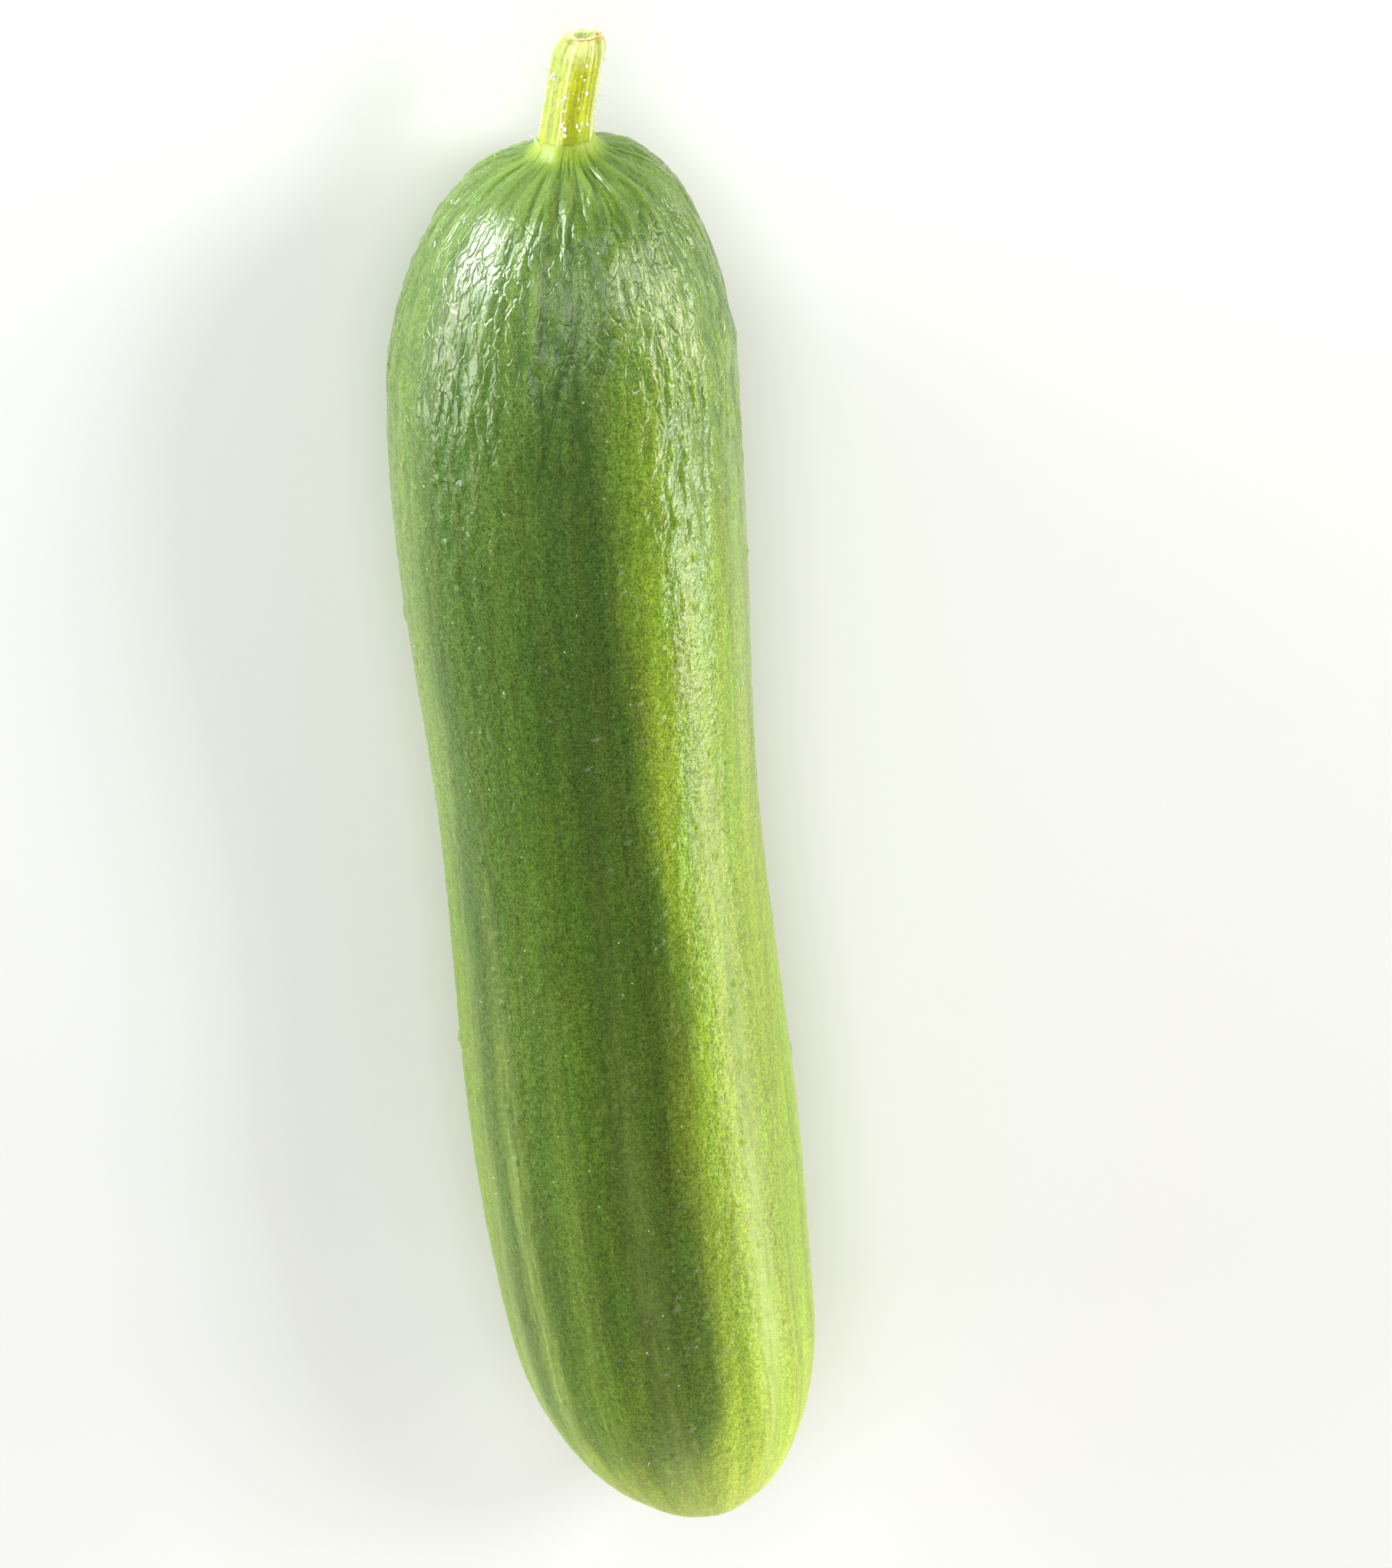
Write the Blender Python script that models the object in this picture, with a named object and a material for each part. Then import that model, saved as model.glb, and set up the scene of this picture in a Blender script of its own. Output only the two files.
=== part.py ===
# A mini cucumber as picked, lying on its side, with the stub of stalk that it was cut from.
# Metres, +Z up. The stub points to +X, the blossom end to -X, and the fruit bulges to +Y.
# Its origin is on the ground, under the middle of the whole thing.
from math import atan2, cos, exp, hypot, pi, radians, sin, tau

import bmesh
import bpy
from mathutils import Vector

# The fruit: its length, and its radius with one slow wave along it and a slightly thicker stem half
FRUIT_LENGTH = 0.140
BODY_RADIUS = 0.01453
WAVE_HEIGHT = 0.00042
WAVE_CREST = 0.033
WAVE_LENGTH = 0.065
TAPER = 0.00093

# Each end: how long its rounding is, how blunt its pole is and how full its shoulder is
STEM_END = {"reach": 0.0210, "blunt": 1.73, "full": 2.87}
BLOSSOM_END = {"reach": 0.0229, "blunt": 2.34, "full": 1.72}

# The bow of the core line towards +Y, stronger near the ends, and the lift of both ends off the ground
BOW = 0.0029
BOW_HOOK = 0.8
BOW_LEAD = 0.06
END_LIFT = 0.0013
FLAT_DEPTH = 0.0005  # how deep the flat spot that it rests on is cut into the underside

# Skin relief: three broad lobes, shallow ribs, grooves that run out from the stem, and the blossom's scar
LOBE_HEIGHT = 0.00026
LOBE_TURN = radians(105)
RIB_COUNT = 10
RIB_HEIGHT = 0.00007
RIB_WANDER = 0.5
GROOVE_COUNT = 20
GROOVE_DEPTH = 0.0003
GROOVE_REACH = 0.008
GROOVE_WANDER = 0.8
SCAR_RADIUS = 0.0013
SCAR_DEPTH = 0.0006

# The stalk's stub, the shallow hole that it stands in, and the gap between them
SOCKET_RADIUS = 0.0031
SOCKET_DEPTH = 0.0018
GAP = 0.0003
STEM_LENGTH = 0.0103
STEM_RADIUS = 0.00218
STEM_FLARE = 0.00058
FLARE_REACH = 0.0011
DRIED_REACH = 0.0016  # the last stretch below the cut, where the stub has dried and narrowed
DRIED_SHARE = 0.25
STEM_RIDGES = 5
RIDGE_HEIGHT = 0.00013
STEM_CURL = (-8.5, -6.0)  # how fast the stub bends to Y and Z, in metres per metre squared
CUT_NORMAL = Vector((1.0, -0.08, -0.12)).normalized()

# How finely the round pieces are divided, and how closely the rings crowd towards the blossom's pole
FRUIT_SIDES = 96
SHOULDER_RINGS = 12
MIDDLE_RINGS = 14
BLOSSOM_RINGS = 13
TIP_CROWDING = 1.3
STEM_SIDES = 40
STEM_RINGS = 16
WELD_DISTANCE = 1e-6

SKIN_GREEN = (0.10, 0.22, 0.035, 1.0)
STALK_GREEN = (0.52, 0.60, 0.09, 1.0)


def clear_scene():
    for item in list(bpy.data.objects):
        bpy.data.objects.remove(item, do_unlink=True)


def make_material(name, colour, roughness):
    material = bpy.data.materials.new(name)
    material.use_nodes = True
    shader = material.node_tree.nodes["Principled BSDF"]
    shader.inputs["Base Color"].default_value = colour
    shader.inputs["Roughness"].default_value = roughness
    shader.inputs["Metallic"].default_value = 0.0
    return material


def body_radius(along):
    # The radius away from the ends, by the distance from the stem's pole.
    wave = WAVE_HEIGHT * cos(tau * (along - WAVE_CREST) / WAVE_LENGTH)
    return BODY_RADIUS + wave + TAPER * (0.5 - along / FRUIT_LENGTH)


def end_share(depth, end):
    # The share of the body's radius that an end has reached, this deep below its pole.
    left = max(0.0, 1 - depth / end["reach"])
    return (1 - left ** end["blunt"]) ** (1 / end["full"])


def end_depth(share, end):
    # The same the other way round: how deep below its pole an end reaches this share.
    return end["reach"] * (1 - (1 - share ** end["full"]) ** (1 / end["blunt"]))


def fruit_radius(along):
    shoulder = end_share(along, STEM_END)
    tip = end_share(FRUIT_LENGTH - along, BLOSSOM_END)
    return body_radius(along) * shoulder * tip


def core_offset(along):
    # How far the core line is moved in Y and Z. The underside stays straight along the middle.
    share = min(max(along / FRUIT_LENGTH, 0.0), 1.0)
    side = 1 - 2 * share
    bow = 4 * BOW * share * (1 - share) * (1 + BOW_LEAD * side + BOW_HOOK * side * side)
    return Vector((0.0, bow, body_radius(share * FRUIT_LENGTH) + END_LIFT * side * side))


def relief(along, turn, radius):
    # How far the skin stands out of the plain turned shape.
    width = radius / BODY_RADIUS
    off_socket = min(1.0, max(0.0, (radius - SOCKET_RADIUS) / SOCKET_RADIUS))
    lobes = LOBE_HEIGHT * cos(3 * (turn - LOBE_TURN))
    ribs = RIB_HEIGHT * cos(RIB_COUNT * turn + RIB_WANDER * sin(2 * turn))
    if along < FRUIT_LENGTH / 2:
        across = GROOVE_COUNT * turn + GROOVE_WANDER * sin(3 * turn + 1)
        groove = GROOVE_DEPTH * (cos(across) - 1) / 2 * exp(-((along / GROOVE_REACH) ** 2))
        return off_socket * (width * (lobes + ribs) + groove)
    spread = (radius / SCAR_RADIUS) ** 2
    return width * (lobes + ribs) + SCAR_DEPTH * (spread - 1) * exp(-spread)


def fruit_profile():
    # From the middle of the socket's floor, over its rim and along the skin to the blossom's pole.
    rings = []
    rim = SOCKET_RADIUS / body_radius(0.0)
    for ring in range(SHOULDER_RINGS):
        share = rim + (1 - rim) * sin(pi / 2 * ring / SHOULDER_RINGS)
        rings.append(end_depth(share, STEM_END))
    middle = FRUIT_LENGTH - STEM_END["reach"] - BLOSSOM_END["reach"]
    for ring in range(MIDDLE_RINGS):
        rings.append(STEM_END["reach"] + middle * ring / MIDDLE_RINGS)
    for ring in range(BLOSSOM_RINGS, 0, -1):
        share = sin(pi / 2 * (ring / BLOSSOM_RINGS) ** TIP_CROWDING)
        rings.append(FRUIT_LENGTH - end_depth(share, BLOSSOM_END))
    skin = [(-along, fruit_radius(along)) for along in rings]
    return [(-SOCKET_DEPTH, 0.0), (-SOCKET_DEPTH, SOCKET_RADIUS)] + skin + [(-FRUIT_LENGTH, 0.0)]


def turn_profile(profile, sides):
    # Spins a line of (x, radius) points about the X axis into one closed surface.
    bm = bmesh.new()
    line = [bm.verts.new((x, radius, 0.0)) for x, radius in profile]
    edges = [bm.edges.new(pair) for pair in zip(line, line[1:])]
    bmesh.ops.spin(
        bm, geom=line + edges, cent=(0, 0, 0), axis=(1, 0, 0), angle=tau, steps=sides, use_merge=True
    )
    bmesh.ops.remove_doubles(bm, verts=bm.verts, dist=WELD_DISTANCE)
    bmesh.ops.recalc_face_normals(bm, faces=bm.faces)
    bm.normal_update()
    return bm


def cut_off(bm, point, normal):
    # Removes what lies past a plane and closes the cut with one flat face.
    whole = bm.verts[:] + bm.edges[:] + bm.faces[:]
    cut = bmesh.ops.bisect_plane(bm, geom=whole, plane_co=point, plane_no=normal, clear_outer=True)
    rim = [item for item in cut["geom_cut"] if isinstance(item, bmesh.types.BMEdge)]
    bmesh.ops.contextual_create(bm, geom=rim)
    bmesh.ops.recalc_face_normals(bm, faces=bm.faces)


def finish_object(name, bm, material):
    mesh = bpy.data.meshes.new(name)
    bm.to_mesh(mesh)
    bm.free()
    mesh.materials.append(material)
    mesh.shade_smooth()
    mesh.set_sharp_from_angle(angle=radians(40))
    item = bpy.data.objects.new(name, mesh)
    bpy.context.scene.collection.objects.link(item)
    return item


def make_fruit():
    # Turned with the stem's pole at the origin, given its relief, then bowed and cut flat underneath.
    bm = turn_profile(fruit_profile(), FRUIT_SIDES)
    for vert in bm.verts:
        along, radius = -vert.co.x, hypot(vert.co.y, vert.co.z)
        turn = atan2(vert.co.z, vert.co.y)
        vert.co += vert.normal * relief(along, turn, radius) + core_offset(along)
    cut_off(bm, (0, 0, FLAT_DEPTH), (0, 0, -1))
    return finish_object("fruit", bm, make_material("fruit_skin", SKIN_GREEN, 0.35))


def stem_radius(height):
    flare = STEM_FLARE * exp(-height / FLARE_REACH)
    dried = max(0.0, height - STEM_LENGTH + DRIED_REACH) / DRIED_REACH
    return STEM_RADIUS * (1 - DRIED_SHARE * dried * dried) + flare


def stem_profile():
    # From the middle of the root's end, up past the crown, to past the slanting cut.
    root = SOCKET_DEPTH - GAP
    top = STEM_LENGTH + DRIED_REACH
    points = [(-root, 0.0), (-root, SOCKET_RADIUS - 2 * GAP)]
    for ring in range(STEM_RINGS + 1):
        height = top * ring / STEM_RINGS
        points.append((height, stem_radius(height)))
    return points + [(top, 0.0)]


def stem_offset(height):
    # The stub goes on along the core line's own direction, then bends to the side and down.
    step = FRUIT_LENGTH / 1000
    start = core_offset(0.0)
    lean = (core_offset(step) - start) / step
    curl_y, curl_z = STEM_CURL
    bend = Vector((0.0, curl_y, curl_z)) * max(0.0, height) ** 2
    return start - lean * height + bend


def make_stem():
    bm = turn_profile(stem_profile(), STEM_SIDES)
    for vert in bm.verts:
        height = vert.co.x
        ridge = cos(STEM_RIDGES * atan2(vert.co.z, vert.co.y)) * RIDGE_HEIGHT
        on_side = min(1.0, max(0.0, height / STEM_RADIUS)) * hypot(vert.co.y, vert.co.z) / STEM_RADIUS
        outward = Vector((0.0, vert.co.y, vert.co.z)).normalized()
        vert.co += outward * ridge * on_side + stem_offset(height)
    middle = Vector((STEM_LENGTH, 0.0, 0.0)) + stem_offset(STEM_LENGTH)
    cut_off(bm, middle, CUT_NORMAL)
    return finish_object("stem", bm, make_material("stalk", STALK_GREEN, 0.5))


def stand_on_ground(items):
    # Moves both pieces alike, so that the origin is on the ground under their common middle.
    corners = [vert.co for item in items for vert in item.data.vertices]
    low = Vector([min(corner[axis] for corner in corners) for axis in range(3)])
    high = Vector([max(corner[axis] for corner in corners) for axis in range(3)])
    for item in items:
        item.location = -Vector(((low.x + high.x) / 2, (low.y + high.y) / 2, low.z))


clear_scene()
stand_on_ground([make_fruit(), make_stem()])
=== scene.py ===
# The looks of a mini cucumber: its skin, the stub of its stalk, bristles, floor, lights and camera
from math import atan2, cos, exp, hypot, pi, radians, sin, tau
from random import Random

import bmesh
import bpy
from mathutils import Matrix, Vector, noise


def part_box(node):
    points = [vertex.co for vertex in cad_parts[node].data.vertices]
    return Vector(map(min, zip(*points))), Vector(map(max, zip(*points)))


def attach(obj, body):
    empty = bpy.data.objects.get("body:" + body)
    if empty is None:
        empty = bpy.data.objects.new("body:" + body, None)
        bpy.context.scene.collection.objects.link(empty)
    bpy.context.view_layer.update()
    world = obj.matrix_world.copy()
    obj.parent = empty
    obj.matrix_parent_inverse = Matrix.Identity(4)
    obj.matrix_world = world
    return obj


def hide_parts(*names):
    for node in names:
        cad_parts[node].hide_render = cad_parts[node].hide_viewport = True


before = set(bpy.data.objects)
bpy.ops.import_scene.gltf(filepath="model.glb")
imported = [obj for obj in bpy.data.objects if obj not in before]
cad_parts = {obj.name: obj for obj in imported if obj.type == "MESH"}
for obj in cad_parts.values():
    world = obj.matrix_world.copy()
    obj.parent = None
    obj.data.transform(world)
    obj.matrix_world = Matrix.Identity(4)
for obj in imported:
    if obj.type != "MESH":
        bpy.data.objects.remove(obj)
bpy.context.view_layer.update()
print("frame loaded")

mm = 0.001
weldDistance = 1e-7


# Small helpers for meshes
def rollProfile(profile, sides):
    # Rolls a grid up round the X axis along a line of (x, radius) points: far quicker than a spin
    bm = bmesh.new()
    last = len(profile) - 1
    bmesh.ops.create_grid(bm, x_segments=last, y_segments=sides, size=0.5)
    for vert in bm.verts:
        x, radius = profile[round((vert.co.x + 0.5) * last)]
        turn = vert.co.y * tau
        vert.co = (x, radius * cos(turn), radius * sin(turn))
    bmesh.ops.remove_doubles(bm, verts=bm.verts, dist=weldDistance)
    bmesh.ops.recalc_face_normals(bm, faces=bm.faces)
    bm.normal_update()
    return bm


def newObject(name, bm, material):
    mesh = bpy.data.meshes.new(name)
    bm.to_mesh(mesh)
    bm.free()
    mesh.materials.append(material)
    item = bpy.data.objects.new(name, mesh)
    bpy.context.scene.collection.objects.link(item)
    return item


def finishPiece(name, bm, material, nodeName=None):
    piece = newObject(name, bm, material)
    piece.data.shade_smooth()
    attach(piece, "root")
    if nodeName:
        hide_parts(nodeName)
    print(name, "has", len(piece.data.polygons), "faces")
    return piece


def clamp(value, low=0.0, high=1.0):
    return min(high, max(low, value))


def smooth(low, high, value):
    # 0 below low, 1 above high, and an easy curve between
    share = clamp((value - low) / (high - low))
    return share * share * (3 - 2 * share)


def hump(value, middle, width):
    # 1 in the middle and nearly 0 two widths away from it
    return exp(-(((value - middle) / width) ** 2))


def turnGap(turn, middle):
    # How far one turn is from another, the short way round
    return (turn - middle + pi) % tau - pi


# A noise that runs round a piece is written as how fine it is round it, its length along it, and which
# part of the noise it takes
def roundNoise(turn, along, fineness, length, part=0):
    return noise.noise(Vector((fineness * cos(turn), fineness * sin(turn), part + along / length)))


def ripple(x, y, z, layers):
    # Layered noise between about -1 and 1
    return noise.fractal(Vector((x, y, z)), 1.0, 2.0, layers, noise_basis="PERLIN_ORIGINAL")


def roundRipple(turn, along, fineness, length, part=0, layers=2):
    return ripple(fineness * cos(turn), fineness * sin(turn), part + along / length, layers)


# Small helpers for material nodes
def connect(tree, value, socket):
    if isinstance(value, bpy.types.NodeSocket):
        tree.links.new(value, socket)
    elif socket.type == "RGBA" and len(value) == 3:
        socket.default_value = (*value, 1)
    else:
        socket.default_value = value


def addNode(tree, kind, settings=None, **values):
    node = tree.nodes.new(kind)
    for name, value in (settings or {}).items():
        setattr(node, name, value)
    for name, value in values.items():
        connect(tree, value, node.inputs[name.replace("_", " ")])
    return node


def maths(tree, operation, first, second, third=0.0):
    node = addNode(tree, "ShaderNodeMath", {"operation": operation})
    for socket, value in zip(node.inputs, (first, second, third)):
        connect(tree, value, socket)
    return node.outputs[0]


def plus(tree, first, second):
    return maths(tree, "ADD", first, second)


def times(tree, first, second):
    return maths(tree, "MULTIPLY", first, second)


def centred(tree, value, height):
    # A noise about 0 instead of about 0.5
    return times(tree, maths(tree, "SUBTRACT", value, 0.5), height)


def ranged(tree, value, low, high, toLow=0.0, toHigh=1.0):
    # An easy change from one number to another while the value goes from low to high
    node = addNode(tree, "ShaderNodeMapRange", {"interpolation_type": "SMOOTHSTEP"}, Value=value,
                   From_Min=low, From_Max=high, To_Min=toLow, To_Max=toHigh)
    return node.outputs["Result"]


def faded(tree, value, guide, *changes):
    # A value times one or more easy changes along a guide
    for change in changes:
        value = times(tree, value, ranged(tree, guide, *change))
    return value


def mixed(tree, mask, first, second, blend="MIX"):
    node = addNode(tree, "ShaderNodeMix", {"data_type": "RGBA", "blend_type": blend})
    connect(tree, mask, node.inputs["Factor"])
    connect(tree, first, node.inputs[6])
    connect(tree, second, node.inputs[7])
    return node.outputs[2]


def dimmed(tree, colour, red, others):
    tint = addNode(tree, "ShaderNodeCombineColor", Red=red, Green=others, Blue=others).outputs["Color"]
    return mixed(tree, 1.0, colour, tint, "MULTIPLY")


def ramped(tree, value, stops):
    node = addNode(tree, "ShaderNodeValToRGB", Fac=value)
    ramp = node.color_ramp
    while len(ramp.elements) < len(stops):
        ramp.elements.new(1.0)
    for element, (position, colour) in zip(ramp.elements, stops):
        element.position = position
        element.color = (*colour, 1)
    return node.outputs["Color"]


def stored(tree, name, output="Vector"):
    return addNode(tree, "ShaderNodeAttribute", {"attribute_name": name}).outputs[output]


def split(tree, vector):
    return addNode(tree, "ShaderNodeSeparateXYZ", Vector=vector).outputs


def towards(tree, parts, turn):
    # 1 on the side that faces this turn and -1 on the side away from it
    return plus(tree, times(tree, parts["X"], cos(turn)), times(tree, parts["Y"], sin(turn)))


def stretched(tree, place, across, along):
    # Scales a place that follows the surface: the first two numbers go round it, the third along it
    node = addNode(tree, "ShaderNodeVectorMath", {"operation": "MULTIPLY"})
    connect(tree, place, node.inputs[0])
    node.inputs[1].default_value = (across, across, along)
    return node.outputs[0]


def noisy(tree, place, scale, detail=3.0, rough=0.5):
    node = addNode(tree, "ShaderNodeTexNoise", Vector=place, Scale=scale, Detail=detail, Roughness=rough)
    return node.outputs["Fac"]


def streaky(tree, place, across, along, detail, rough=0.5):
    return noisy(tree, stretched(tree, place, across, along), 1.0, detail, rough)


def cellular(tree, place, scale):
    return addNode(tree, "ShaderNodeTexVoronoi", Vector=place, Scale=scale, Randomness=1.0).outputs


def bumped(tree, height, strength, distance, under=None):
    # A bump that may lie over another one
    node = addNode(tree, "ShaderNodeBump", Height=height, Strength=strength, Distance=distance)
    if under:
        tree.links.new(under, node.inputs["Normal"])
    return node.outputs["Normal"]


def newMaterial(name, constants):
    # The constants go onto the shader's own sockets
    material = bpy.data.materials.new(name)
    material.use_nodes = True
    shader = material.node_tree.nodes["Principled BSDF"]
    for socketName, value in constants.items():
        shader.inputs[socketName].default_value = value
    return material, material.node_tree, shader


# The fruit's form, the same rules and sizes as its solid, then its fine relief
fruit = {
    "length": 0.140,
    "radius": 0.01453,
    "waveHeight": 0.00042, "waveCrest": 0.033, "waveLength": 0.065, "taper": 0.00093,
    "stemEnd": {"reach": 0.0210, "blunt": 1.73, "full": 2.87},
    "blossomEnd": {"reach": 0.0229, "blunt": 2.34, "full": 1.72},
    "bow": 0.0029, "bowHook": 0.8, "bowLead": 0.06, "endLift": 0.0013, "flatDepth": 0.0005,
    "lobeHeight": 0.00026, "lobeTurn": radians(105),
    "ribCount": 10, "ribHeight": 0.00007, "ribWander": 0.5,
    "grooveCount": 20, "grooveDepth": 0.0003, "grooveReach": 0.008, "grooveWander": 0.8,
    "scarRadius": 0.0013, "scarDepth": 0.0006,
    "crownRadius": 0.0031,
    # How finely it is divided; the shoulder's rings start under the stalk and crowd round it
    "sides": 360, "shoulderRings": 64, "middleRings": 164, "blossomRings": 44, "tipCrowding": 1.1,
    "firstRing": 0.0020, "crownCrowding": 1.7,
}

relief = {
    "start": (0.0021, 0.0045),  # how far from the middle of either end it sets in
    "swell": 0.00010, "swellSize": 0.009,  # slow unevenness
    # Narrow lengthwise furrows between flat stretches, deep on the shoulder and gone further down
    "furrow": 0.00015, "furrowApart": 0.0015, "furrowLength": 0.0075, "furrowWidth": 0.20,
    "furrowSway": 0.06, "swayNoise": (3, 0.006), "furrowFade": (0.014, 0.044),
    "patchEdge": (-0.45, 0.15), "patchNoise": (2, 0.012, 5, 1),
    # Short slanting creases between them, like crepe
    "crease": 0.00009, "creaseWidth": 0.0008, "creaseLength": 0.0021, "creaseLean": 0.35,
    "creaseFade": (0.016, 0.048), "creaseLoss": 0.75, "creaseLight": 0.35,
    "pebble": 0.000045, "pebbleWidth": 0.0010, "pebbleLength": 0.0013,
    # Low bumps that spines once stood on
    "bumpCount": 46, "bumpAlong": (0.012, 0.128), "bumpSize": (0.4, 1.0),
    "bumpRadius": 0.00060, "bumpHeight": 0.00026, "seed": 7,
    # The crown's rise into the stalk: its height at this radius, and how fast it fades outwards
    "collar": 0.00170, "collarStart": 0.00228, "collarReach": 0.00064, "collarRib": 0.00012,
    # The furrows are deeper on one side, and one part of the shoulder is sleek
    "deepTurn": radians(150), "deepShare": 0.35,
    "sleekTurn": radians(46), "sleekWidth": radians(30), "sleekFade": (0.010, 0.017),
    "sleekShare": 0.85, "sleekGrooves": 0.7,
}

crown = {
    "outset": (0.0026, 0.0042),  # the distance from the stalk's middle where the streaks set in
    "inner": (0.0055, 0.0105),  # and where finer ones take over
    "streakWidth": 0.0009, "streakLength": 0.009, "streakEdge": (0.0, 0.35), "fineShare": 0.55,
    "grooveLoss": 0.9, "foldLoss": 1.2, "faintest": 0.15,  # what dims the streaks close to the stalk
    "start": 0.002, "shortest": 0.006, "longest": 0.022,
    "lengthEdge": (-0.3, 0.35), "lengthNoise": (5, 1, 3),
    "sway": 0.10, "swayNoise": (2.5, 0.0045),  # how far they wander, in radians
    "grooveShade": 0.6, "shadeEdge": (-0.35, 0.25), "shadeNoise": (3, 0.006, 11),
    # Narrow folds, finer than the solid's grooves, that set in closer to the stalk
    "folds": 37, "foldDepth": 0.00016, "foldStart": (0.0021, 0.0031), "foldFade": (0.008, 0.019),
    "foldSharpness": 2.5, "foldSway": 0.06, "foldSwayNoise": (4, 1, 21),
    "foldEdge": (-0.40, 0.30), "foldNoise": (7, 0.005, 11),
}


def bodyRadius(along):
    wave = fruit["waveHeight"] * cos(tau * (along - fruit["waveCrest"]) / fruit["waveLength"])
    return fruit["radius"] + wave + fruit["taper"] * (0.5 - along / fruit["length"])


def endShare(depth, end):
    left = max(0.0, 1 - depth / end["reach"])
    return (1 - left ** end["blunt"]) ** (1 / end["full"])


def endDepth(share, end):
    return end["reach"] * (1 - (1 - share ** end["full"]) ** (1 / end["blunt"]))


def fruitRadius(along):
    shoulder = endShare(along, fruit["stemEnd"])
    tip = endShare(fruit["length"] - along, fruit["blossomEnd"])
    return bodyRadius(along) * shoulder * tip


def coreOffset(along):
    # How far the core line is moved in Y and Z from the straight X axis
    share = clamp(along / fruit["length"])
    side = 1 - 2 * share
    bow = 4 * fruit["bow"] * share * (1 - share)
    bow *= 1 + fruit["bowLead"] * side + fruit["bowHook"] * side * side
    return Vector((0, bow, bodyRadius(share * fruit["length"]) + fruit["endLift"] * side * side))


def grooveWave(turn):
    # 0 on the crests that run out from the stalk, -1 in the grooves between them
    across = fruit["grooveCount"] * turn + fruit["grooveWander"] * sin(3 * turn + 1)
    return (cos(across) - 1) / 2


def formRelief(along, turn, radius):
    width = radius / fruit["radius"]
    offCrown = clamp((radius - fruit["crownRadius"]) / fruit["crownRadius"])
    lobes = fruit["lobeHeight"] * cos(3 * (turn - fruit["lobeTurn"]))
    ribs = fruit["ribHeight"] * cos(fruit["ribCount"] * turn + fruit["ribWander"] * sin(2 * turn))
    if along < fruit["length"] / 2:
        groove = fruit["grooveDepth"] * grooveWave(turn) * exp(-((along / fruit["grooveReach"]) ** 2))
        groove *= 1 - relief["sleekGrooves"] * sleekAt(along, turn)
        return offCrown * (width * (lobes + ribs) + groove)
    spread = (radius / fruit["scarRadius"]) ** 2
    return width * (lobes + ribs) + fruit["scarDepth"] * (spread - 1) * exp(-spread)


def fruitProfile():
    # From the stem's pole along the skin to the blossom's pole
    rings = []
    first = fruit["firstRing"] / bodyRadius(0)
    for ring in range(fruit["shoulderRings"]):
        quarter = pi / 2 * (ring / fruit["shoulderRings"]) ** fruit["crownCrowding"]
        rings.append(endDepth(first + (1 - first) * sin(quarter), fruit["stemEnd"]))
    start, end = fruit["stemEnd"]["reach"], fruit["length"] - fruit["blossomEnd"]["reach"]
    for ring in range(fruit["middleRings"]):
        rings.append(start + (end - start) * ring / fruit["middleRings"])
    for ring in range(fruit["blossomRings"], 0, -1):
        quarter = pi / 2 * (ring / fruit["blossomRings"]) ** fruit["tipCrowding"]
        rings.append(fruit["length"] - endDepth(sin(quarter), fruit["blossomEnd"]))
    return [(0, 0)] + [(-along, fruitRadius(along)) for along in rings] + [(-fruit["length"], 0)]


def makeBumps():
    # How far along each bump is, at which turn, and how high
    draw = Random(relief["seed"])
    spans = (relief["bumpAlong"], (0, tau), relief["bumpSize"])
    return [[draw.uniform(*span) for span in spans] for _ in range(relief["bumpCount"])]


def sleekAt(along, turn):
    # 1 in the middle of the sleek part of the shoulder and 0 away from it
    gap = turnGap(turn, relief["sleekTurn"])
    return hump(gap, 0, relief["sleekWidth"]) * (1 - smooth(*relief["sleekFade"], along))


def furrowAt(along, turn, radius, reach):
    # From 0 on the flat stretches to 1 in the middle of a furrow
    swayed = turn + relief["furrowSway"] * roundRipple(turn, reach, *relief["swayNoise"])
    around = fruit["radius"] / relief["furrowApart"]
    wave = roundRipple(swayed, reach, around, relief["furrowLength"])
    present = smooth(*relief["patchEdge"], roundRipple(turn, reach, *relief["patchNoise"]))
    outer = smooth(*crown["inner"], radius) * (1 - smooth(*relief["furrowFade"], along))
    depth = 1 + relief["deepShare"] * cos(turn - relief["deepTurn"])
    return hump(wave, 0, relief["furrowWidth"]) * present * outer * depth


def creaseAt(along, turn, reach):
    lean = turn + relief["creaseLean"] * reach / fruit["radius"]
    around = fruit["radius"] / relief["creaseWidth"]
    wave = roundRipple(lean, reach, around, relief["creaseLength"])
    return wave * (1 - relief["creaseLoss"] * smooth(*relief["creaseFade"], along))


def bumpAt(along, turn, radius, bumps):
    height = 0.0
    for bumpAlong, bumpTurn, size in bumps:
        gap = abs(along - bumpAlong)
        if gap < 3 * relief["bumpRadius"]:
            around = turnGap(turn, bumpTurn) * radius
            height += size * exp(-(gap ** 2 + around ** 2) / relief["bumpRadius"] ** 2)
    return height


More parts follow.
